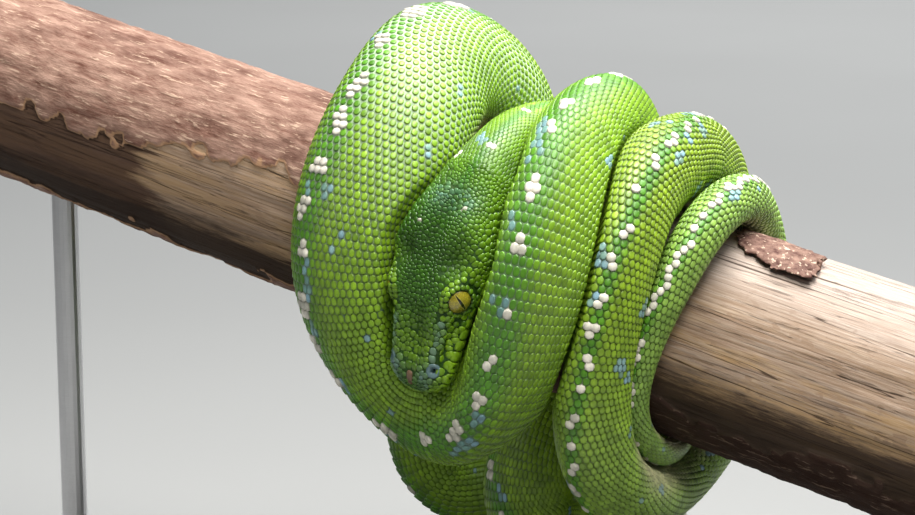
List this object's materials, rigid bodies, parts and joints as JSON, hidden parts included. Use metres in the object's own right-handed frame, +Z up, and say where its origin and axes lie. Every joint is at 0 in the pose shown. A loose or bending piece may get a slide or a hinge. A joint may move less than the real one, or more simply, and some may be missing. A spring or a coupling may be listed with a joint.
{
  "type": "coiled green tree python on a perch",
  "caption": "Life-size still model of an adult green tree python coiled round a cut length of branch, its head resting on the coils, on a plain display stand.",
  "frame": {"origin": "centre of the underside of the stand's base", "axes": "+X towards the right of the perch, the way the branch slopes down; -Y towards the side that the head rests on; +Z up"},
  "size_m": [0.36, 0.19, 0.2228],
  "materials": {
    "head_skin": "satin",
    "skin": "satin",
    "tail_skin": "satin",
    "eye": "gloss",
    "wood": "rough",
    "bark": "rough",
    "base": "satin paint",
    "steel": "brushed"
  },
  "bodies": {
    "root": {"head": "head_skin", "jaw": "head_skin", "eye_left": "eye", "eye_right": "eye", "neck": "skin", "trunk_1": "skin", "trunk_2": "skin", "trunk_3": "skin", "trunk_4": "skin", "trunk_5": "skin", "trunk_6": "skin", "trunk_7": "skin", "trunk_8": "skin", "trunk_9": "skin", "tail_1": "tail_skin", "tail_2": "tail_skin", "perch_branch": "wood", "bark_flake": "bark", "stand_base": "base", "stand_rod_left": "steel", "stand_rod_right": "steel", "stand_collar_left": "steel", "stand_collar_right": "steel"}
  },
  "joints": []
}
